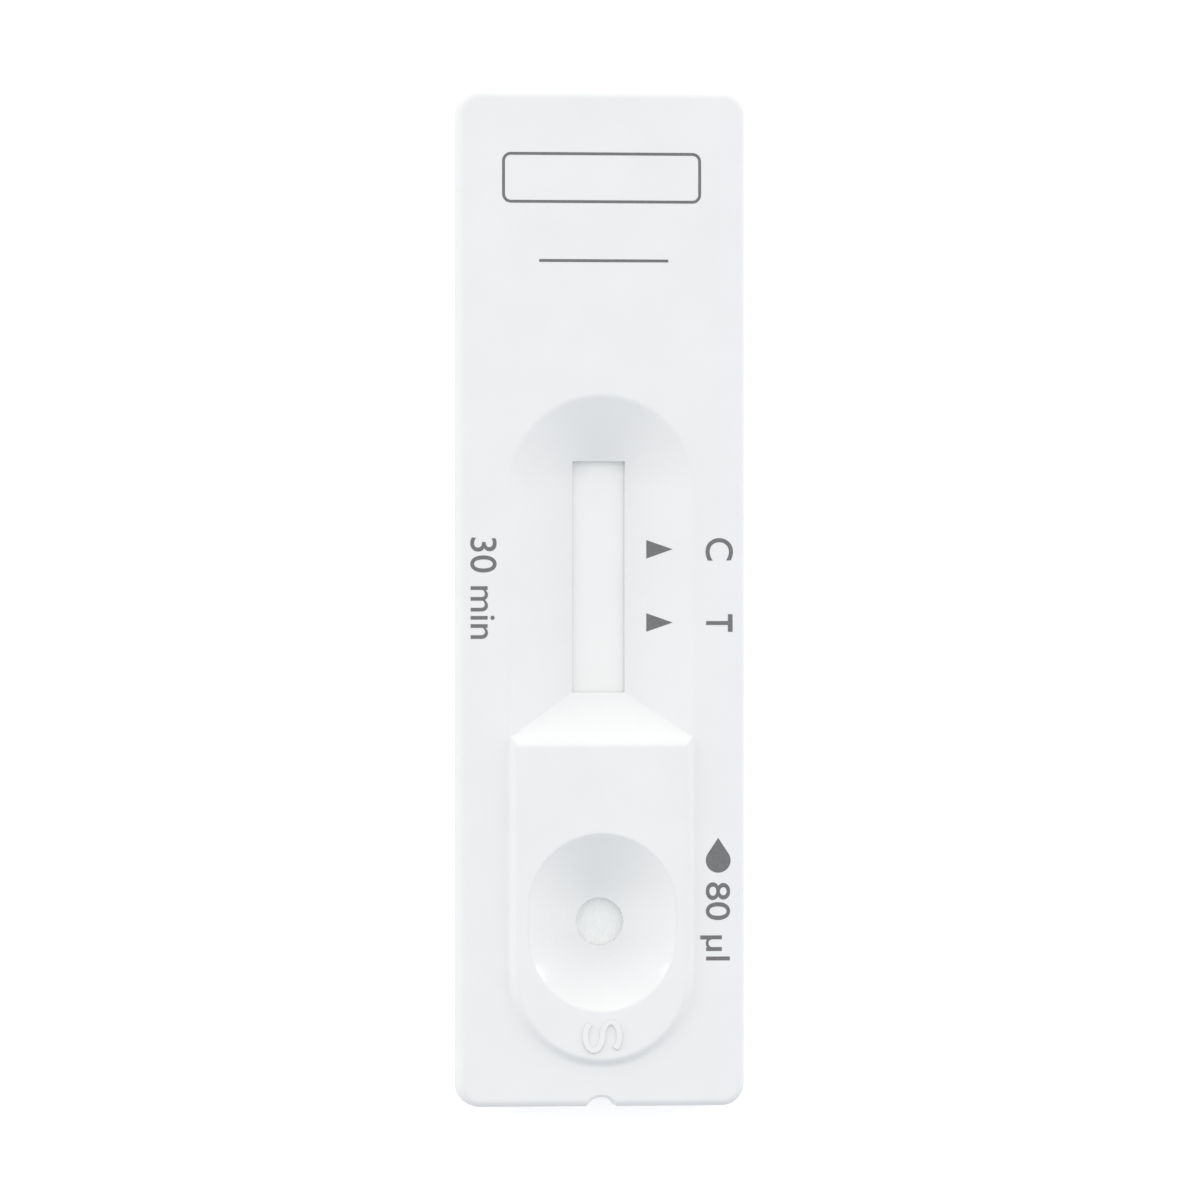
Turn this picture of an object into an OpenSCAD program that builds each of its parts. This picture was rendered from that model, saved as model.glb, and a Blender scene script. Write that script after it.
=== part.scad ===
/* [Housing] */
// Length of the housing, along Y
body_l = 70.2; // [66:0.1:84]
// Width of the housing, along X
body_w = 20; // [18.5:0.1:24]
// Radius of the four corners, seen from above
corner_r = 1.6; // [1.4:0.1:2.2]
// Height of the lower shell, up to the parting line
lower_h = 2.2; // [1.9:0.1:2.7]
// Height of the upper shell, from the parting line to its flat face
upper_h = 2.3; // [1.9:0.1:2.8]
// Thickness of the side walls
wall_t = 1.1; // [0.9:0.05:1.4]
// Thickness of the cover
cover_t = 1.0; // [0.8:0.05:1.2]
// Thickness of the floor
floor_t = 0.9; // [0.7:0.05:1.1]
// Rounding of the housing's top and bottom edges
edge_r = 0.5; // [0.4:0.05:0.6]
// Draft of the upper shell's wall, as its inset over the wall's height
draft = 0.06; // [0:0.01:0.1]
// Draft of the lower shell's wall, as its inset over the wall's height
lower_draft = 0.3; // [0.2:0.01:0.35]
// How far the lower shell's wall stands back from the upper shell's
reveal = 0.1; // [0:0.01:0.15]
// Bevel of each shell's outer edge at the parting line
seam_bevel = 0.12; // [0.05:0.01:0.2]

/* [Pocket and platform] */
// Radius of the round ends of the pocket and the platform
pocket_r = 6.35; // [5.5:0.05:6.8]
// Distance from the housing's sample end to the platform's round end
platform_gap = 2.9; // [2.4:0.05:4]
// Length of the platform, from its round end to the top of the ramp
platform_l = 22.1; // [20.5:0.1:26]
// Height of the platform above the flat face
platform_h = 0.41; // [0.35:0.01:0.7]
// How far the platform's side leans in over its height
platform_lean = 0.36; // [0.2:0.01:0.45]
// Wall left between the platform's foot and the hollow under it
platform_side_t = 0.75; // [0.6:0.05:0.9]
// Length of the ramp between the platform and the window
ramp_run = 3.6; // [3:0.1:4.4]
// Rounding where a flat face turns into a slope, and hollow rounding at the platform's foot
soft_r = 0.15; // [0.1:0.01:0.2]

/* [Result window] */
// Length of the window
window_l = 16; // [13:0.1:19.5]
// How much of each side of the strip the window's edge covers
window_lap = 0.17; // [0.1:0.01:0.3]
// Thickness of the lip round the window
lip_t = 0.33; // [0.28:0.01:0.4]
// Width of the lip's flat underside beside the window
lip_side = 1.2; // [1:0.05:1.4]
// Length of the lip's flat underside at the foot of the ramp
lip_foot = 0.6; // [0.5:0.05:0.75]
// Gap between the membrane and the lip
lip_gap = 0.07; // [0.05:0.01:0.1]

/* [Sample well] */
// Radius of the round ends of the well's rim
well_r = 5.1; // [4.3:0.1:5.4]
// Straight length between the round ends of the well's rim
well_straight = 2.1; // [1.2:0.1:2.5]
// Distance from the platform's round end to the middle of the well
well_gap = 9.85; // [8.4:0.05:11.5]
// Radius of the sample hole
hole_r = 1.66; // [1.4:0.02:1.8]
// Length of the hole's straight wall above the sample pad
hole_land = 0.5; // [0.3:0.05:0.6]
// Wall of the well and of the platform
well_t = 0.9; // [0.75:0.05:1.05]
// Bow of the well's side: 1 is a straight funnel, and more is a bowl
well_bow = 1.45; // [1.2:0.01:1.7]

/* [Moulded letter] */
// Height of the letter S beside the well
letter_h = 2.8; // [2.2:0.1:3.2]
// Width of the letter
letter_w = 2.4; // [2:0.1:2.8]
// Width of the letter's stroke
letter_stroke = 0.42; // [0.34:0.01:0.5]
// Height of the letter above the platform
letter_rise = 0.1; // [0.06:0.01:0.15]
// Distance from the platform's round end to the letter's middle
letter_gap = 2.05; // [1.8:0.05:2.2]

/* [Notch] */
// Width of the notch in the sample end
notch_w = 2.1; // [1.8:0.1:3]
// Depth of the notch
notch_d = 0.7; // [0.6:0.05:1]
// Rounding of the notch's two shoulders
notch_round = 0.4; // [0.3:0.05:0.6]
// Chamfer of the notch's upper rim
notch_rim = 0.18; // [0.1:0.01:0.25]
// Wall round the notch
notch_t = 0.8; // [0.6:0.05:1]

/* [Pins and sockets] */
// Radius of the pins that join the shells
pin_r = 0.75; // [0.6:0.05:0.9]
// Gap all round a pin in its socket
pin_gap = 0.02; // [0.01:0.005:0.05]
// Chamfer of a pin's tip and of a socket's mouth
pin_chamfer = 0.2; // [0.15:0.01:0.3]
// Wall of the sockets
socket_t = 0.5; // [0.4:0.05:0.65]
// Height of the sockets above the parting line
socket_rise = 0.5; // [0.3:0.05:0.7]
// Thickness left under a socket's hole
socket_floor = 1.0; // [0.8:0.05:1.1]
// Gap between a pin's tip and the bottom of its socket
tip_gap = 0.2; // [0.1:0.05:0.3]
// Gap between the sockets and the side walls
socket_gap = 0.4; // [0.3:0.05:0.6]
// Distance from the housing's ends to the outermost pins
pin_inset = 7.2; // [5.5:0.1:9]
// Number of pins along each side
pin_rows = 4; // [3:1:5]

/* [Strip bed] */
// Height of the bed's ribs above the floor
bed_h = 0.5; // [0.4:0.05:0.65]
// Distance between the bed's ribs
rib_pitch = 4.2; // [3.5:0.1:6]
// Thickness of the ribs, the rails and the press bars
rib_t = 0.8; // [0.6:0.05:1]
// Height of the rails above the backing card
rail_h = 0.2; // [0.15:0.01:0.24]
// Gap between the strip and the rails and stops round it
rail_gap = 0.12; // [0.08:0.01:0.2]

/* [Test strip] */
// Width of the strip
strip_w = 4; // [3.4:0.1:4.8]
// Distance from each end of the housing to the end of the strip
strip_inset = 5.6; // [4.8:0.1:6.6]
// Thickness of the backing card
card_t = 0.3; // [0.25:0.01:0.36]
// Thickness of the membrane
membrane_t = 0.2; // [0.16:0.01:0.24]
// Thickness of the conjugate pad
conjugate_t = 0.35; // [0.28:0.01:0.42]
// Thickness of the sample pad
sample_t = 0.6; // [0.5:0.02:0.72]
// Thickness of the absorbent pad
absorbent_t = 0.8; // [0.65:0.02:0.92]
// How far the membrane runs on before the window
membrane_lead = 3.4; // [2.8:0.1:4]
// How far the membrane runs on after the window
membrane_tail = 5.4; // [4.5:0.1:6.4]
// Length of the conjugate pad
conjugate_l = 7; // [5.8:0.1:8.4]
// How far each pad lies over the next piece
overlap = 2; // [1.7:0.1:2.4]
// Length over which a pad eases up onto the next piece
ease = 0.6; // [0.4:0.05:0.8]

/* [Hidden] */
$fn = 64;
// A cut runs this far past the faces that it opens.
past = 1;
// Features of one moulding sink this far into each other, so that they fuse.
weld = 0.1;

// Levels, from the table up
bed_z = floor_t + bed_h;
card_z = bed_z + card_t;
membrane_z = card_z + membrane_t;
conjugate_z = membrane_z + conjugate_t;
sample_z = card_z + sample_t;
sample_lap_z = sample_z + conjugate_t;
absorbent_z = card_z + absorbent_t;
absorbent_lap_z = absorbent_z + membrane_t;
rail_z = card_z + rail_h;
face_z = lower_h + upper_h;
cover_z = face_z - cover_t;
platform_z = face_z + platform_h;
platform_under_z = platform_z - well_t;
lip_under_z = membrane_z + lip_gap;
lip_z = lip_under_z + lip_t;
well_floor_z = sample_z + hole_land;
socket_z = lower_h + socket_rise;
pin_z = socket_floor + tip_gap;

// Places along the housing, from the sample end
sample_end = -body_l / 2;
far_end = body_l / 2;
platform_end = sample_end + platform_gap;
platform_c = platform_end + pocket_r;
ramp_top = platform_end + platform_l;
window_start = ramp_top + ramp_run;
window_end = window_start + window_l;
window_w = strip_w - 2 * window_lap;
pocket_c = window_end - window_w / 2;
well_c = platform_end + well_gap;
strip_start = sample_end + strip_inset;
strip_end = far_end - strip_inset;
membrane_start = window_start - membrane_lead;
membrane_end = window_end + membrane_tail;
conjugate_end = membrane_start + overlap;
conjugate_start = conjugate_end - conjugate_l;
sample_pad_end = conjugate_start + overlap;
absorbent_start = membrane_end - overlap;

// Slopes of the pocket's sides and of the ramp, as rise over run
pocket_slope = (face_z - lip_z) / (pocket_r - window_w / 2);
ramp_slope = (platform_z - lip_z) / ramp_run;
// Where the ramp crosses the flat face, and where its underside starts and ends
ramp_side = window_start - (face_z - lip_z) / ramp_slope;
lip_back = window_start - lip_foot;
ramp_knee = lip_back - (platform_under_z - lip_under_z) / ramp_slope;

// The notch is an arc, whose centre lies outside the housing. A shoulder's arc meets it on each side.
notch_r = (notch_w * notch_w / 4 + notch_d * notch_d) / (2 * notch_d);
notch_c = sample_end + notch_d - notch_r;
shoulder_x = sqrt(2 * (notch_r + notch_round) * notch_d - notch_d * notch_d);
shoulder_turn = asin(shoulder_x / (notch_r + notch_round));

// Places of the pins
socket_r = pin_r + pin_gap + socket_t;
pin_x = body_w / 2 - wall_t - socket_gap - socket_r;
pin_pitch = (body_l - 2 * pin_inset) / (pin_rows - 1);
pin_places = [
    for (side = [-1, 1], row = [0 : pin_rows - 1])
        [side * pin_x, sample_end + pin_inset + row * pin_pitch, 0]
];

// Places of the bed's ribs, evenly between the ends of the strip
rib_count = ceil((strip_end - strip_start - rib_t) / rib_pitch);
rib_step = (strip_end - strip_start - rib_t) / rib_count;
channel_w = strip_w + 2 * rail_gap;

// Points along an arc, and along a soft corner from a to b round c
function arc(r, from, to, steps) = [
    for (i = [0 : steps])
        let (a = from + (to - from) * i / steps) r * [cos(a), sin(a)]
];
function soft(a, c, b, steps = 4) = [
    for (i = [0 : steps])
        let (t = i / steps) (1 - t) * (1 - t) * a + 2 * t * (1 - t) * c + t * t * b
];
function reversed(points) = [for (i = [len(points) - 1 : -1 : 0]) points[i]];

// A half section's points off the middle, with their mirror images
function both_sides(half) = let (right = [for (p = half) if (p[0] > 0) p])
    concat(right, [for (p = reversed(right)) [-p[0], p[1]]]);

// The half section of a block whose side follows an edge of [inset, height]
function block_half(reach, edge) = concat(
    [[0, edge[0][1]]],
    [for (e = edge) [reach - e[0], e[1]]],
    [[0, edge[len(edge) - 1][1]]]
);

// The shells' outer edges, from the bottom up
lower_edge = concat(
    [for (p = arc(edge_r, 0, 90, 6))
        [reveal + lower_draft + edge_r - p[1], edge_r - p[0]]],
    [[reveal, lower_h - seam_bevel], [reveal + seam_bevel, lower_h]]
);
upper_edge = concat(
    [[seam_bevel, lower_h], [0, lower_h + seam_bevel]],
    [for (p = arc(edge_r, 0, 90, 6)) [draft + edge_r - p[0], face_z - edge_r + p[1]]]
);

// The pocket's half section, with the slope from the lip to the flat face
pocket_half = concat(
    [[0, lip_z], [window_w / 2, lip_z]],
    soft(
        [pocket_r - soft_r, face_z - soft_r * pocket_slope],
        [pocket_r, face_z],
        [pocket_r + soft_r, face_z]
    ),
    [[pocket_r + soft_r, platform_z + past], [0, platform_z + past]]
);
// The wall under the pocket, which follows its slope
pocket_wall_x = window_w / 2 + lip_side;
pocket_wall_half = [
    [0, lip_under_z],
    [pocket_wall_x, lip_under_z],
    [pocket_wall_x + (cover_z + weld - lip_under_z) / pocket_slope, cover_z + weld],
    [0, cover_z + weld]
];
// The platform above the flat face, and the hollow under it
platform_half = concat(
    [[0, face_z - weld], [pocket_r + soft_r, face_z - weld]],
    soft(
        [pocket_r + soft_r, face_z],
        [pocket_r, face_z],
        [pocket_r - platform_lean * soft_r / platform_h, face_z + soft_r]
    ),
    soft(
        [pocket_r - platform_lean * (1 - soft_r / platform_h), platform_z - soft_r],
        [pocket_r - platform_lean, platform_z],
        [pocket_r - platform_lean - soft_r, platform_z]
    ),
    [[0, platform_z]]
);
platform_hollow_x = pocket_r - platform_side_t;
platform_hollow_half = [
    [0, lip_under_z - past], [platform_hollow_x, lip_under_z - past],
    [platform_hollow_x, platform_under_z], [0, platform_under_z]
];

// The well's side, from its foot inside the hole up to its rim
well_foot = hole_r - well_straight / 2 - weld;
well_steps = 12;
function well_side(drop) = [
    for (i = [0 : well_steps]) let (
        u = i / well_steps,
        z = well_floor_z + pow(u, well_bow) * (platform_z - well_floor_z)
    ) [well_foot + u * (well_r - well_foot), max(z - drop, sample_z)]
];
well_half = concat(
    [[0, well_floor_z]],
    well_side(0),
    [[well_r + soft_r, platform_z + past], [0, platform_z + past]]
);
well_wall_half = concat(
    [[0, sample_z]],
    well_side(1.1 * well_t),
    [[well_r + well_t, platform_under_z + weld], [0, platform_under_z + weld]]
);

// The letter's middle line: one bowl, and the same bowl turned half round
letter_steps = 10;
letter_bowl = [
    for (i = [0 : letter_steps]) let (a = 28 + (258 - 28) * i / letter_steps)
        [
            (letter_w - letter_stroke) / 2 * cos(a),
            (letter_h - letter_stroke) / 4 * (1 + sin(a))
        ]
];
letter_line = concat(letter_bowl, reversed(-letter_bowl));
function beside(line, d) = [
    for (i = [0 : len(line) - 1]) let (
        before = line[max(i - 1, 0)],
        after = line[min(i + 1, len(line) - 1)],
        way = (after - before) / norm(after - before)
    ) line[i] + d * [-way[1], way[0]]
];

// A section across the housing, run along it
module along(from, to) {
    translate([0, to, 0]) rotate([90, 0, 0]) linear_extrude(to - from) children();
}

// A section along the housing, run across it
module across(width) {
    rotate([90, 0, 90]) linear_extrude(width, center = true) children();
}

// A half section run from one place to another, turned round at the named ends
module trough(half, from, to, turned) {
    along(from, to) polygon(both_sides(half));
    for (y = turned) translate([0, y, 0]) rotate_extrude() polygon(half);
}

// A solid block with round corners, whose sides follow an edge
module block(edge) {
    along(corner_r - body_l / 2, body_l / 2 - corner_r)
        polygon(both_sides(block_half(body_w / 2, edge)));
    across(body_w - 2 * corner_r)
        polygon(both_sides(block_half(body_l / 2, edge)));
    for (x = [-1, 1], y = [-1, 1])
        translate([x * (body_w / 2 - corner_r), y * (body_l / 2 - corner_r), 0])
            rotate_extrude() polygon(block_half(corner_r, edge));
}

// The space inside the side walls, from one height to another
module inside_walls(from, to) {
    inner_w = body_w - 2 * wall_t;
    inner_l = body_l - 2 * wall_t;
    inner_r = corner_r - wall_t / 2;
    translate([0, 0, from]) linear_extrude(to - from) {
        square([inner_w - 2 * inner_r, inner_l], center = true);
        square([inner_w, inner_l - 2 * inner_r], center = true);
        for (x = [-1, 1], y = [-1, 1])
            translate([x * (inner_w / 2 - inner_r), y * (inner_l / 2 - inner_r)])
                circle(inner_r);
    }
}

// A box from its lowest and highest corners
module box(low, high) {
    translate(low) cube(high - low);
}

// The notch, as it is cut, with rounded shoulders and a chamfered upper rim
module notch_cut() {
    turn = 0.85 * shoulder_turn;
    shoulder = [
        for (p = arc(notch_round, -90, -90 - turn, 5))
            p + [shoulder_x, sample_end + notch_round]
    ];
    into_arc = shoulder[5] + notch_round / 2 * [-cos(turn), sin(turn)];
    half = concat([[shoulder_x, sample_end - past]], shoulder, [into_arc]);
    translate([0, 0, -past]) linear_extrude(platform_z + 2 * past)
        polygon(concat(half, [for (p = reversed(half)) [-p[0], p[1]]]));
    translate([0, notch_c, -past]) cylinder(platform_z + 2 * past, r = notch_r);
    translate([0, notch_c, face_z - notch_rim])
        cylinder(notch_rim + past, r1 = notch_r, r2 = notch_r + notch_rim + past);
}

// The wall that runs round the notch inside a shell
module notch_wall(from, to) {
    intersection() {
        translate([0, notch_c, from]) cylinder(to - from, r = notch_r + notch_t);
        box([-notch_w * 2, sample_end + wall_t / 2, from], [notch_w * 2, sample_end + body_w, to]);
    }
}

// The pocket, as it is cut: everything above its slopes and above the ramp
module pocket_cut() {
    difference() {
        trough(pocket_half, ramp_top - soft_r, pocket_c, [pocket_c]);
        across(3 * pocket_r) polygon(concat(
            [[ramp_top - past, lip_z - past], [ramp_top - past, platform_z]],
            soft(
                [ramp_top - soft_r, platform_z],
                [ramp_top, platform_z],
                [ramp_top + soft_r, platform_z - soft_r * ramp_slope]
            ),
            [[window_start, lip_z], [window_start, lip_z - past]]
        ));
    }
}

// The hollow under the platform, with the underside of the ramp at its end
module platform_hollow() {
    difference() {
        trough(platform_hollow_half, platform_c, lip_back, [platform_c]);
        across(3 * pocket_r) polygon([
            [ramp_knee, platform_under_z + past],
            [ramp_knee, platform_under_z],
            [lip_back, lip_under_z],
            [lip_back + past, lip_under_z],
            [lip_back + past, platform_under_z + past]
        ]);
    }
}

// The bars that press the strip's pads together where they lap
module press_bars() {
    lap_bar = overlap - rib_t;
    rise = lip_under_z - ramp_slope * (membrane_start - lip_back);
    across(strip_w) polygon([
        [membrane_start + rib_t / 2, conjugate_z],
        [membrane_start + rib_t / 2 + lap_bar, conjugate_z],
        [membrane_start + rib_t / 2 + lap_bar, rise + weld - ramp_slope * (rib_t / 2 + lap_bar)],
        [membrane_start + rib_t / 2, rise + weld - ramp_slope * rib_t / 2]
    ]);
    box(
        [-strip_w / 2, conjugate_start + rib_t / 2, sample_lap_z],
        [strip_w / 2, sample_pad_end - rib_t / 2, platform_under_z + weld]
    );
    box(
        [-strip_w / 2, absorbent_start + rib_t / 2, absorbent_lap_z],
        [strip_w / 2, membrane_end - rib_t / 2, cover_z + weld]
    );
    for (y = [strip_end - 2 * rib_t, (membrane_end + strip_end) / 2])
        box([-strip_w / 2, y - rib_t / 2, absorbent_z], [strip_w / 2, y + rib_t / 2, cover_z + weld]);
}

// One pin, hanging from the cover
module pin() {
    translate([0, 0, pin_z]) cylinder(pin_chamfer, r1 = pin_r - pin_chamfer, r2 = pin_r);
    translate([0, 0, pin_z + pin_chamfer])
        cylinder(cover_z + weld - pin_z - pin_chamfer, r = pin_r);
}

// The raised letter that marks the sample well, read from the housing's side
module letter() {
    translate([0, platform_end + letter_gap, platform_z - weld]) rotate(-90)
        linear_extrude(letter_rise + weld)
            polygon(concat(
                beside(letter_line, letter_stroke / 2),
                reversed(beside(letter_line, -letter_stroke / 2))
            ));
}

module upper_shell() {
    color("whitesmoke") difference() {
        union() {
            difference() {
                union() {
                    difference() {
                        block(upper_edge);
                        inside_walls(lower_h - past, cover_z);
                    }
                    trough(pocket_wall_half, ramp_side, pocket_c, [pocket_c]);
                    trough(platform_half, platform_c, window_start, [platform_c]);
                }
                platform_hollow();
            }
            trough(
                well_wall_half,
                well_c - well_straight / 2,
                well_c + well_straight / 2,
                [well_c - well_straight / 2, well_c + well_straight / 2]
            );
            press_bars();
            for (place = pin_places) translate(place) pin();
            notch_wall(lower_h, cover_z + weld);
            letter();
        }
        pocket_cut();
        box(
            [-window_w / 2, window_start, lip_under_z - past],
            [window_w / 2, window_end, platform_z + past]
        );
        trough(
            well_half,
            well_c - well_straight / 2,
            well_c + well_straight / 2,
            [well_c - well_straight / 2, well_c + well_straight / 2]
        );
        translate([0, well_c, sample_z - past])
            cylinder(platform_z - sample_z + 2 * past, r = hole_r);
        notch_cut();
    }
}

// The ribs, rails and stops that hold the strip
module strip_bed() {
    for (i = [0 : rib_count])
        box(
            [-channel_w / 2 - weld, strip_start + i * rib_step, floor_t - weld],
            [channel_w / 2 + weld, strip_start + i * rib_step + rib_t, bed_z]
        );
    for (side = [-1, 1]) {
        x = side * (channel_w + rib_t) / 2;
        box(
            [x - rib_t / 2, strip_start - rail_gap - rib_t, floor_t - weld],
            [x + rib_t / 2, strip_end + rail_gap + rib_t, rail_z]
        );
    }
    for (y = [strip_start - rail_gap - rib_t, strip_end + rail_gap])
        box([-channel_w / 2 - weld, y, floor_t - weld], [channel_w / 2 + weld, y + rib_t, rail_z]);
}

// A low rib at each row of sockets, from the side wall to the strip's rail
module tie_ribs() {
    tie_w = body_w / 2 - wall_t - channel_w / 2;
    for (place = pin_places) {
        middle = sign(place[0]) * (channel_w + tie_w) / 2;
        reach = tie_w / 2 + weld;
        box(
            [middle - reach, place[1] - rib_t / 2, floor_t - weld],
            [middle + reach, place[1] + rib_t / 2, bed_z]
        );
    }
}

// The hole of one socket, with a lead-in at its mouth
module socket_hole() {
    hole = pin_r + pin_gap;
    translate([0, 0, socket_floor]) cylinder(socket_z - socket_floor + past, r = hole);
    translate([0, 0, socket_z - pin_chamfer])
        cylinder(pin_chamfer + weld, r1 = hole, r2 = hole + pin_chamfer + weld);
}

module lower_shell() {
    color("whitesmoke") difference() {
        union() {
            difference() {
                block(lower_edge);
                inside_walls(floor_t, lower_h + past);
            }
            strip_bed();
            tie_ribs();
            for (place = pin_places)
                translate([place[0], place[1], floor_t - weld])
                    cylinder(socket_z - floor_t + weld, r = socket_r);
            notch_wall(floor_t - weld, lower_h);
        }
        for (place = pin_places) translate(place) socket_hole();
        notch_cut();
    }
}

module backing_card() {
    color("white") box([-strip_w / 2, strip_start, bed_z], [strip_w / 2, strip_end, card_z]);
}

module membrane() {
    color("mintcream")
        box([-strip_w / 2, membrane_start, card_z], [strip_w / 2, membrane_end, membrane_z]);
}

// A pad on the card that eases up over the end of the next piece
module lapping_pad(start, step, end, rise, thickness) {
    back = sign(start - step);
    across(strip_w) polygon([
        [start, card_z],
        [step, card_z],
        [step, card_z + rise],
        [end, card_z + rise],
        [end, card_z + rise + thickness],
        [step, card_z + rise + thickness],
        [step + back * ease, card_z + thickness],
        [start, card_z + thickness]
    ]);
}

module conjugate_pad() {
    color("lavenderblush")
        lapping_pad(conjugate_start, membrane_start, conjugate_end, membrane_t, conjugate_t);
}

module sample_pad() {
    color("ivory")
        lapping_pad(strip_start, conjugate_start, sample_pad_end, conjugate_t, sample_t);
}

module absorbent_pad() {
    color("white")
        lapping_pad(strip_end, membrane_end, absorbent_start, membrane_t, absorbent_t);
}

upper_shell();
lower_shell();
backing_card();
membrane();
conjugate_pad();
sample_pad();
absorbent_pad();
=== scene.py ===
"""Lateral flow cassette: the looks of its moulded shells, the test strip between them and the print."""

import math

import bmesh
import bpy
from mathutils import Matrix, Vector


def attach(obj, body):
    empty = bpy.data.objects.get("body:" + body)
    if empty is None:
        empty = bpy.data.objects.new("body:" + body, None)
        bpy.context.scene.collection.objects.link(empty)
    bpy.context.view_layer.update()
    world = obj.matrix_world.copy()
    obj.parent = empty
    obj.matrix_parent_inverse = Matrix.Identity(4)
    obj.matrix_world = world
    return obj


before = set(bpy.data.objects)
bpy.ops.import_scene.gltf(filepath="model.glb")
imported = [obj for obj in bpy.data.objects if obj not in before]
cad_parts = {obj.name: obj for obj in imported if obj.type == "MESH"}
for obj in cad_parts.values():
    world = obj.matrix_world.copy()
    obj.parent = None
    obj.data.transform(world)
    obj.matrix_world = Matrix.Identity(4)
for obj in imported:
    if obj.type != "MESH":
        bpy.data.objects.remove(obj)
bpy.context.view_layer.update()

# Camera and table: the cassette lies on a white table. The camera looks straight down on it, with the
# sample end at the bottom of the picture, and leans a few degrees to the left, so that the left wall
# just shows.
MM = 0.001
FACE_Z = 4.5 * MM
VIEW_LEAN = math.radians(6)
VIEW_DISTANCE = 0.5
VIEW_SHIFT_X = -0.12 * MM
VIEW_SHIFT_Y = -0.1 * MM
VIEW_WIDTH = 82.76 * MM
SENSOR_WIDTH = 36
TABLE_REACH = 3
TABLE_DROP = 0.02 * MM
TABLE_WHITE = (0.78, 0.78, 0.78)
TABLE_GLOW = 0.42

camera = bpy.data.objects.new("camera", bpy.data.cameras.new("camera"))
bpy.context.scene.collection.objects.link(camera)
bpy.context.scene.camera = camera
camera.data.sensor_width = SENSOR_WIDTH
camera.data.lens = SENSOR_WIDTH * VIEW_DISTANCE / VIEW_WIDTH
camera.data.clip_start = 0.01
camera.data.clip_end = 20
camera.location = (
    VIEW_SHIFT_X - VIEW_DISTANCE * math.sin(VIEW_LEAN),
    VIEW_SHIFT_Y,
    FACE_Z + VIEW_DISTANCE * math.cos(VIEW_LEAN),
)
camera.rotation_euler = (0, -VIEW_LEAN, 0)


def new_material(name, colour, roughness):
    """A material with its shader's constants set on the shader, and its node tree to add to."""
    material = bpy.data.materials.new(name)
    material.use_nodes = True
    shader = material.node_tree.nodes["Principled BSDF"]
    shader.inputs["Base Color"].default_value = (*colour, 1)
    shader.inputs["Roughness"].default_value = roughness
    return material, material.node_tree, shader


def node(tree, kind, **settings):
    """A shader node. The dict in inputs sets its sockets, and every other setting sets the node."""
    made = tree.nodes.new(kind)
    for socket, value in settings.pop("inputs", {}).items():
        made.inputs[socket].default_value = value
    for setting, value in settings.items():
        setattr(made, setting, value)
    return made


def math_node(tree, operation, *values):
    """The output of a math node. A number is set on its socket, and an output is linked to it."""
    made = node(tree, "ShaderNodeMath", operation=operation)
    for socket, value in zip(made.inputs, values):
        if isinstance(value, (int, float)):
            socket.default_value = value
        else:
            tree.links.new(value, socket)
    return made.outputs[0]


def seen_ray(tree):
    """An output that is 1 for camera, glossy and transmission rays, which see plain white."""
    path = node(tree, "ShaderNodeLightPath")
    seen = path.outputs["Is Camera Ray"]
    for kind in ("Is Glossy Ray", "Is Transmission Ray"):
        seen = math_node(tree, "MAXIMUM", seen, path.outputs[kind])
    return seen


table_mesh = bmesh.new()
bmesh.ops.create_grid(table_mesh, x_segments=1, y_segments=1, size=TABLE_REACH)
bmesh.ops.translate(table_mesh, verts=table_mesh.verts, vec=(0, 0, -TABLE_DROP))
table = bpy.data.objects.new("table", bpy.data.meshes.new("table"))
table_mesh.to_mesh(table.data)
table_mesh.free()
bpy.context.scene.collection.objects.link(table)

table_paint, tree, shader = new_material("white table", TABLE_WHITE, 0.8)
shader.inputs["Specular IOR Level"].default_value = 0
glow = node(tree, "ShaderNodeEmission", inputs={"Color": (1, 1, 1, 1), "Strength": TABLE_GLOW})
no_glow = node(tree, "ShaderNodeEmission", inputs={"Strength": 0})
pick = node(tree, "ShaderNodeMixShader")
tree.links.new(seen_ray(tree), pick.inputs["Fac"])
tree.links.new(no_glow.outputs[0], pick.inputs[1])
tree.links.new(glow.outputs[0], pick.inputs[2])
both = node(tree, "ShaderNodeAddShader")
tree.links.new(shader.outputs[0], both.inputs[0])
tree.links.new(pick.outputs[0], both.inputs[1])
tree.links.new(both.outputs[0], tree.nodes["Material Output"].inputs["Surface"])
table.data.materials.append(table_paint)

# Light: a white surround, dimmer and cooler on the near side, and two soft boxes low on the left and the
# right, which lift the slopes that face them. Two small strip lamps leave the sample well's highlights.
SURROUND = 1.015
SURROUND_FALL = 0.4
NEAR_TONE = (0.912, 0.942, 1, 1)
FAR_TONE = (1, 0.998, 0.97, 1)
LAMP_TONE = (1, 0.926, 0.845)
LAMP_DISTANCE = 0.9
SOFT_BOX = 0.45
SOFT_BOX_ELEVATION = 14
STRIP_WIDTH = 0.19
STRIP_HEIGHT = 0.045


def remap(tree, value, low, high, to_low, to_high):
    """The value with low to high stretched onto to_low to to_high, and held between these two."""
    made = node(tree, "ShaderNodeMapRange", inputs={"From Min": low, "From Max": high})
    made.inputs["To Min"].default_value = to_low
    made.inputs["To Max"].default_value = to_high
    tree.links.new(value, made.inputs["Value"])
    return made.outputs[0]


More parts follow.
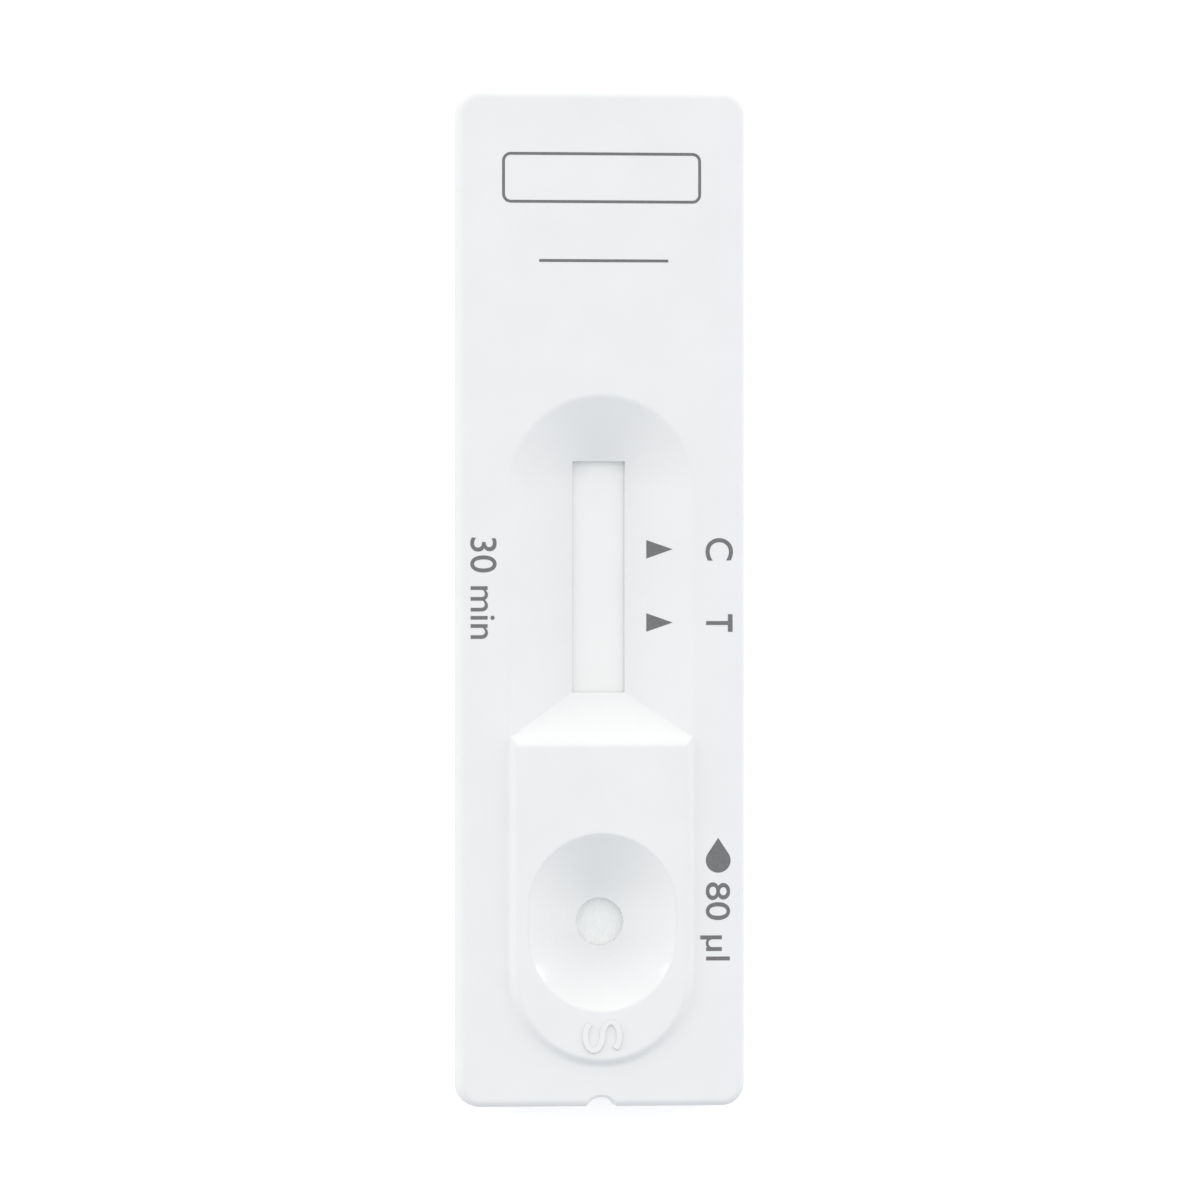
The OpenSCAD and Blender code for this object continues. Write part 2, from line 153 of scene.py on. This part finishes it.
world = bpy.data.worlds.new("white surround")
world.use_nodes = True
bpy.context.scene.world = world
tree = world.node_tree
surround = tree.nodes["Background"]
split = node(tree, "ShaderNodeSeparateXYZ")
tree.links.new(node(tree, "ShaderNodeTexCoord").outputs["Generated"], split.inputs[0])
near_light = SURROUND * (1 - SURROUND_FALL)
far_light = SURROUND * (1 + SURROUND_FALL)
tree.links.new(remap(tree, split.outputs["Y"], -1, 1, near_light, far_light), surround.inputs["Strength"])
cast = node(tree, "ShaderNodeMix", data_type="RGBA")
cast.inputs["A"].default_value = NEAR_TONE
cast.inputs["B"].default_value = FAR_TONE
tree.links.new(remap(tree, split.outputs["Y"], -1, 1, 0, 1), cast.inputs["Factor"])
tree.links.new(cast.outputs["Result"], surround.inputs["Color"])
white = node(tree, "ShaderNodeBackground", inputs={"Color": (1, 1, 1, 1), "Strength": 1})
pick = node(tree, "ShaderNodeMixShader")
tree.links.new(seen_ray(tree), pick.inputs["Fac"])
tree.links.new(surround.outputs[0], pick.inputs[1])
tree.links.new(white.outputs[0], pick.inputs[2])
tree.links.new(pick.outputs[0], tree.nodes["World Output"].inputs["Surface"])


def lamp_facing(name, azimuth, elevation, width, height, power):
    """Makes a flat lamp that faces the cassette. Azimuth runs from the picture's right to its top."""
    lamp = bpy.data.objects.new(name, bpy.data.lights.new(name, "AREA"))
    lamp.data.shape = "RECTANGLE"
    lamp.data.size = width
    lamp.data.size_y = height
    lamp.data.energy = power
    lamp.data.color = LAMP_TONE
    around, up = math.radians(azimuth), math.radians(elevation)
    way = Vector((math.cos(around) * math.cos(up), math.sin(around) * math.cos(up), math.sin(up)))
    lamp.location = way * LAMP_DISTANCE
    lamp.rotation_euler = way.to_track_quat("Z", "Y").to_euler()
    bpy.context.scene.collection.objects.link(lamp)
    return lamp


for name, azimuth, power in (("soft box right", 20, 1.35), ("soft box left", 162, 1.75)):
    soft_box = lamp_facing(name, azimuth, SOFT_BOX_ELEVATION, SOFT_BOX, SOFT_BOX, power)
    soft_box.visible_glossy = False
lamp_facing("strip lamp right", 22.5, 20, STRIP_WIDTH, STRIP_HEIGHT, power=0.16)
lamp_facing("strip lamp left", 153.5, 30.5, STRIP_WIDTH, STRIP_HEIGHT, power=0.08)

bpy.context.scene.view_settings.view_transform = "Standard"

# Lower shell: the moulded tray that lies on the table. It is white polystyrene with a fine eroded finish.
# Rails and ribs inside it hold the strip, and its sockets take the upper shell's pins.
SHELL_WHITE = (0.79, 0.8, 0.81)
SHELL_ROUGHNESS = 0.5
GRAIN_SCALE = 9000
GRAIN_DEPTH = 0.004 * MM
CLOUD_SCALE = 220


def own_place(tree):
    """The piece's own coordinates, in metres."""
    return node(tree, "ShaderNodeTexCoord").outputs["Object"]


def noise(tree, place, scale, detail, roughness=0.5):
    """The output of a noise pattern, which runs from 0 to 1 and is mostly near 0.5."""
    made = node(tree, "ShaderNodeTexNoise", inputs={"Scale": scale, "Detail": detail})
    made.inputs["Roughness"].default_value = roughness
    tree.links.new(place, made.inputs["Vector"])
    return made.outputs["Fac"]


def vary_tone(tree, shader, colour, pattern, reach, darkest, lightest):
    """Scales the colour from darkest to lightest, as the pattern runs from 0.5 - reach to 0.5 + reach."""
    tone = remap(tree, pattern, 0.5 - reach, 0.5 + reach, darkest, lightest)
    shade = node(tree, "ShaderNodeVectorMath", operation="SCALE", inputs={0: colour})
    tree.links.new(tone, shade.inputs["Scale"])
    tree.links.new(shade.outputs[0], shader.inputs["Base Color"])


def add_bump(tree, shader, height, depth, strength):
    """Raises the surface by depth where height is 1, and returns the bump node."""
    bump = node(tree, "ShaderNodeBump", inputs={"Strength": strength, "Distance": depth})
    tree.links.new(height, bump.inputs["Height"])
    tree.links.new(bump.outputs["Normal"], shader.inputs["Normal"])
    return bump


def moulded_plastic(name, colour, roughness):
    """White polystyrene from an eroded mould: a fine even grain, and tone that varies very slightly."""
    material, tree, shader = new_material(name, colour, roughness)
    place = own_place(tree)
    cloud = noise(tree, place, CLOUD_SCALE, 4, 0.55)
    vary_tone(tree, shader, colour, cloud, 0.2, 0.985, 1.01)
    grain_bump = add_bump(tree, shader, noise(tree, place, GRAIN_SCALE, 3, 0.6), GRAIN_DEPTH, 0.5)
    return material, tree, shader, grain_bump


def dress(name, material):
    """Gives the frame's node of that name its one material."""
    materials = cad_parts[name].data.materials
    materials.clear()
    materials.append(material)


dress("lower_shell", moulded_plastic("lower shell plastic", SHELL_WHITE, SHELL_ROUGHNESS)[0])

# Backing card: a thin white plastic sheet with an adhesive face, cut to the strip's width by a blade.
# The four other layers of the strip are stuck on it.
CARD_WHITE = (0.86, 0.86, 0.85)
GLUE_SCALE = 1400
GLUE_DEPTH = 0.01 * MM
card_face, tree, shader = new_material("backing card", CARD_WHITE, 0.4)
add_bump(tree, shader, noise(tree, own_place(tree), GLUE_SCALE, 3), GLUE_DEPTH, 0.4)
dress("backing_card", card_face)

# Membrane: cast nitrocellulose, matte and even, that shows in the window. It has no lines on it before
# use. Its tone is very slightly green, and it drifts a little along the strip.
MEMBRANE_WHITE = (0.866, 0.873, 0.872)
DRIFT_SCALE = 160
PORE_SCALE = 14000
PORE_DEPTH = 0.003 * MM
membrane_face, tree, shader = new_material("membrane", MEMBRANE_WHITE, 0.85)
shader.inputs["Specular IOR Level"].default_value = 0.25
place = own_place(tree)
vary_tone(tree, shader, MEMBRANE_WHITE, noise(tree, place, DRIFT_SCALE, 2), 0.2, 0.99, 1.01)
add_bump(tree, shader, noise(tree, place, PORE_SCALE, 4, 0.7), PORE_DEPTH, 0.4)
dress("membrane", membrane_face)

# Conjugate pad: glass fibre felt, stained pink by the dried conjugate. It lies under the ramp, between
# the sample pad and the membrane, and laps over the membrane's end.
THREAD_TURNS = (0.35, 1.45, 2.6)
THREAD_STRETCH = 0.16
THREAD_LOW = 0.45
THREAD_HIGH = 0.7
BEND_SCALE = 0.35
BEND_REACH = 2.5


def felt(name, colour, painted_gap_shade, size):
    """Pressed fibre: tangled threads of about the given size, with painted shade in the gaps between them.
    """
    material, tree, shader = new_material(name, colour, 0.95)
    shader.inputs["Specular IOR Level"].default_value = 0.2
    place = own_place(tree)
    bend = node(tree, "ShaderNodeTexNoise", inputs={"Scale": BEND_SCALE / size, "Detail": 2})
    tree.links.new(place, bend.inputs["Vector"])
    bent = node(tree, "ShaderNodeVectorMath", operation="MULTIPLY_ADD")
    bent.inputs[1].default_value = (BEND_REACH * size,) * 3
    tree.links.new(bend.outputs["Color"], bent.inputs[0])
    tree.links.new(place, bent.inputs[2])
    threads = []
    for turn in THREAD_TURNS:
        aim = node(tree, "ShaderNodeMapping")
        aim.inputs["Rotation"].default_value = (0, 0, turn)
        aim.inputs["Scale"].default_value = (1 / size, THREAD_STRETCH / size, 1 / size)
        tree.links.new(bent.outputs[0], aim.inputs["Vector"])
        threads.append(noise(tree, aim.outputs[0], 1, 1))
    top = threads[0]
    for thread in threads[1:]:
        top = math_node(tree, "MAXIMUM", top, thread)
    lift = remap(tree, top, THREAD_LOW, THREAD_HIGH, 0, 1)
    # The gaps between the threads get the darker colour: painted shade where they sink below the threads.
    shade = node(tree, "ShaderNodeMix", data_type="RGBA")
    shade.inputs["A"].default_value = (*painted_gap_shade, 1)
    shade.inputs["B"].default_value = (*colour, 1)
    tree.links.new(lift, shade.inputs["Factor"])
    tree.links.new(shade.outputs["Result"], shader.inputs["Base Color"])
    add_bump(tree, shader, lift, size / 4, 0.7)
    return material


dress("conjugate_pad", felt("conjugate pad felt", (0.72, 0.48, 0.52), (0.58, 0.33, 0.38), 0.05 * MM))

# Sample pad: a loose cellulose felt, seen at the bottom of the well. It takes up the drop and passes it
# on to the conjugate pad, over whose end it laps.
dress("sample_pad", felt("sample pad felt", (0.93, 0.936, 0.932), (0.89, 0.9, 0.896), 0.1 * MM))

# Absorbent pad: thick white blotting felt at the far end of the strip, which draws the sample along.
# It laps over the membrane's other end.
dress("absorbent_pad", felt("absorbent pad felt", (0.87, 0.87, 0.86), (0.78, 0.78, 0.77), 0.1 * MM))

# Upper shell: the moulded cover with the pocket, the ramp and the sample well. Its face has the mould's
# fine eroded grain, and the well is polished, so that the whole drop runs down into the hole. The rims of
# the pocket, the platform and the well have softly rounded edges, and the letter's are rounded less.
WELL_MIDDLE_Y = -22.35 * MM
WELL_STRAIGHT = 2.1 * MM
WELL_POLISH_R = 5.02 * MM
WELL_ROUGHNESS = 0.12
SOFT_EDGE_R = 0.28 * MM
SOFT_FROM_Z = FACE_Z - 0.3 * MM
SOFT_HALF_WIDTH = 8.5 * MM
SOFT_HALF_LENGTH = 32.8 * MM
LETTER_EDGE_R = 0.1 * MM
LETTER_MIDDLE_Y = -30.15 * MM
LETTER_HALF_WIDTH = 1.65 * MM
LETTER_HALF_LENGTH = 1.32 * MM

upper_plastic, tree, shader, grain_bump = moulded_plastic(
    "upper shell plastic", SHELL_WHITE, SHELL_ROUGHNESS
)
split = node(tree, "ShaderNodeSeparateXYZ")
tree.links.new(own_place(tree), split.inputs[0])
x, y, z = split.outputs
along_well = math_node(tree, "ABSOLUTE", math_node(tree, "SUBTRACT", y, WELL_MIDDLE_Y))
past_straight = math_node(tree, "MAXIMUM", math_node(tree, "SUBTRACT", along_well, WELL_STRAIGHT / 2), 0)
across_square = math_node(tree, "MULTIPLY", x, x)
along_square = math_node(tree, "MULTIPLY", past_straight, past_straight)
from_spine = math_node(tree, "SQRT", math_node(tree, "ADD", across_square, along_square))
in_well = math_node(tree, "LESS_THAN", from_spine, WELL_POLISH_R)
polish = remap(tree, in_well, 0, 1, SHELL_ROUGHNESS, WELL_ROUGHNESS)
tree.links.new(polish, shader.inputs["Roughness"])

letter_x = math_node(tree, "COMPARE", x, 0, LETTER_HALF_WIDTH)
letter_y = math_node(tree, "COMPARE", y, LETTER_MIDDLE_Y, LETTER_HALF_LENGTH)
by_letter = math_node(tree, "MULTIPLY", letter_x, letter_y)
soft_edge = node(tree, "ShaderNodeBevel", samples=6)
tree.links.new(remap(tree, by_letter, 0, 1, SOFT_EDGE_R, LETTER_EDGE_R), soft_edge.inputs["Radius"])
inside_x = math_node(tree, "COMPARE", x, 0, SOFT_HALF_WIDTH)
inside_y = math_node(tree, "COMPARE", y, 0, SOFT_HALF_LENGTH)
upper = math_node(tree, "GREATER_THAN", z, SOFT_FROM_Z)
softened = math_node(tree, "MULTIPLY", math_node(tree, "MULTIPLY", inside_x, inside_y), upper)
soften = node(tree, "ShaderNodeMix", data_type="VECTOR")
tree.links.new(softened, soften.inputs["Factor"])
tree.links.new(node(tree, "ShaderNodeNewGeometry").outputs["Normal"], soften.inputs["A"])
tree.links.new(soft_edge.outputs[0], soften.inputs["B"])
tree.links.new(soften.outputs["Result"], grain_bump.inputs["Normal"])
dress("upper_shell", upper_plastic)

# Print: one dark grey pass of pad-printed ink on the upper shell, read with the sample end at the right.
# The pointers and letters mark the control and test lines, and the rest gives the reading time, the
# sample drop, the volume, and a field and a line to write on.
INK_THICKNESS = 0.012 * MM
INK_SINK = 0.004 * MM
INK_GREY = (0.155, 0.156, 0.164)
COVER_SCALE = 7000
WORD_CURVE_STEPS = 8
CORNER_STEPS = 6
ink, tree, shader = new_material("print ink", INK_GREY, 0.55)
vary_tone(tree, shader, INK_GREY, noise(tree, own_place(tree), COVER_SCALE, 3), 0.15, 0.9, 1.1)


def add_print(name, mesh):
    """Makes a printed mark of the mesh, and gives it to the upper shell."""
    mark = bpy.data.objects.new(name, mesh)
    bpy.context.scene.collection.objects.link(mark)
    mesh.materials.clear()
    mesh.materials.append(ink)
    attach(mark, "root")


def print_words(name, words, low, high, bold):
    """Words on the flat face that read towards the sample end, stretched to fill low to high in X and Y."""
    curve = bpy.data.curves.new(name, "FONT")
    curve.body = words
    curve.extrude = INK_THICKNESS / 2
    curve.offset = bold
    curve.resolution_u = WORD_CURVE_STEPS
    holder = bpy.data.objects.new(name, curve)
    bpy.context.scene.collection.objects.link(holder)
    mesh = bpy.data.meshes.new_from_object(holder.evaluated_get(bpy.context.evaluated_depsgraph_get()))
    bpy.data.objects.remove(holder)
    mesh.transform(Matrix.Rotation(math.radians(-90), 4, "Z"))
    corners = [vertex.co for vertex in mesh.vertices]
    least = [min(corner[axis] for corner in corners) for axis in range(2)]
    most = [max(corner[axis] for corner in corners) for axis in range(2)]
    stretch = [(high[axis] - low[axis]) / (most[axis] - least[axis]) for axis in range(2)]
    place = Matrix.Diagonal((stretch[0], stretch[1], 1, 1))
    place.translation = (
        low[0] - least[0] * stretch[0],
        low[1] - least[1] * stretch[1],
        FACE_Z + INK_THICKNESS / 2 - INK_SINK,
    )
    mesh.transform(place)
    add_print(name, mesh)


def print_shape(name, place, outline, inner=None):
    """A mark with the given outline, in the plane that place sets. With an inner outline it is a frame."""
    shape = bmesh.new()
    corners = [shape.verts.new((x, y, -INK_SINK)) for x, y in outline]
    if inner is None:
        shape.faces.new(corners)
    else:
        inside = [shape.verts.new((x, y, -INK_SINK)) for x, y in inner]
        for i in range(len(corners)):
            shape.faces.new((corners[i - 1], corners[i], inside[i], inside[i - 1]))
    raised = bmesh.ops.extrude_face_region(shape, geom=shape.faces[:])["geom"]
    tops = [item for item in raised if isinstance(item, bmesh.types.BMVert)]
    bmesh.ops.translate(shape, verts=tops, vec=(0, 0, INK_THICKNESS))
    bmesh.ops.recalc_face_normals(shape, faces=shape.faces)
    shape.transform(place)
    mesh = bpy.data.meshes.new(name)
    shape.to_mesh(mesh)
    shape.free()
    add_print(name, mesh)


def on_face(x, y):
    """The place of a mark whose middle is at x, y on the flat face."""
    return Matrix.Translation((x, y, FACE_Z))


def rounded_box(width, length, r):
    """The outline of a rectangle with rounded corners, as points."""
    points = []
    for turn, (side_x, side_y) in enumerate(((1, 1), (-1, 1), (-1, -1), (1, -1))):
        for step in range(CORNER_STEPS + 1):
            angle = math.radians(90 * (turn + step / CORNER_STEPS))
            x = side_x * (width / 2 - r) + r * math.cos(angle)
            points.append((x, side_y * (length / 2 - r) + r * math.sin(angle)))
    return points


print_words("control_letter", "C", (7.21 * MM, 2.62 * MM), (9.12 * MM, 4.18 * MM), bold=0.008)
print_words("test_letter", "T", (7.25 * MM, -2.3 * MM), (9.09 * MM, -1.08 * MM), bold=0.02)
print_words("reading_time", "30 min", (-9.1 * MM, -2.78 * MM), (-7.28 * MM, 4.2 * MM), bold=0.004)
print_words("sample_volume", "80 µl", (6.84 * MM, -25 * MM), (8.92 * MM, -19.6 * MM), bold=0.005)

WINDOW_HALF = 1.83 * MM
LIP_Z = 2.3 * MM
POCKET_R = 6.35 * MM
VALLEY_FOOT = Vector((WINDOW_HALF, 0, LIP_Z))
VALLEY_SLOPE = math.atan2(FACE_Z - LIP_Z, POCKET_R - WINDOW_HALF)
POINTER_START = 3.26 * MM
POINTER_TIP = 5.0 * MM
POINTER_HALF = 0.64 * MM
CONTROL_Y = 3.41 * MM
TEST_Y = -1.655 * MM
base_x = (POINTER_START - WINDOW_HALF) / math.cos(VALLEY_SLOPE)
tip_x = (POINTER_TIP - WINDOW_HALF) / math.cos(VALLEY_SLOPE)
for name, y in (("control_pointer", CONTROL_Y), ("test_pointer", TEST_Y)):
    foot = Matrix.Translation(VALLEY_FOOT + Vector((0, y, 0)))
    up_valley = foot @ Matrix.Rotation(-VALLEY_SLOPE, 4, "Y")
    print_shape(name, up_valley, [(base_x, -POINTER_HALF), (tip_x, 0), (base_x, POINTER_HALF)])

DROP_X = 8.09 * MM
DROP_TIP_Y = -16.53 * MM
DROP_FOOT_Y = -18.94 * MM
DROP_R = 0.86 * MM
DROP_STEPS = 32
tip_reach = DROP_TIP_Y - DROP_FOOT_Y - DROP_R
touch = math.acos(DROP_R / tip_reach)
drop_outline = [(0, tip_reach)]
for step in range(DROP_STEPS + 1):
    angle = touch + (2 * math.pi - 2 * touch) * step / DROP_STEPS
    drop_outline.append((DROP_R * math.sin(angle), DROP_R * math.cos(angle)))
print_shape("sample_drop", on_face(DROP_X, DROP_FOOT_Y + DROP_R), drop_outline)

FIELD_Y = 29.02 * MM
FIELD_WIDTH = 13.8 * MM
FIELD_LENGTH = 3.5 * MM
FIELD_CORNER_R = 0.6 * MM
FIELD_LINE = 0.2 * MM
LINE_X = 0.14 * MM
LINE_Y = 23.3 * MM
LINE_WIDTH = 8.96 * MM
LINE_END_R = 0.05 * MM
print_shape(
    "writing_field",
    on_face(0, FIELD_Y),
    rounded_box(FIELD_WIDTH, FIELD_LENGTH, FIELD_CORNER_R),
    rounded_box(FIELD_WIDTH - 2 * FIELD_LINE, FIELD_LENGTH - 2 * FIELD_LINE, FIELD_CORNER_R - FIELD_LINE),
)
print_shape("writing_line", on_face(LINE_X, LINE_Y), rounded_box(LINE_WIDTH, FIELD_LINE, LINE_END_R))

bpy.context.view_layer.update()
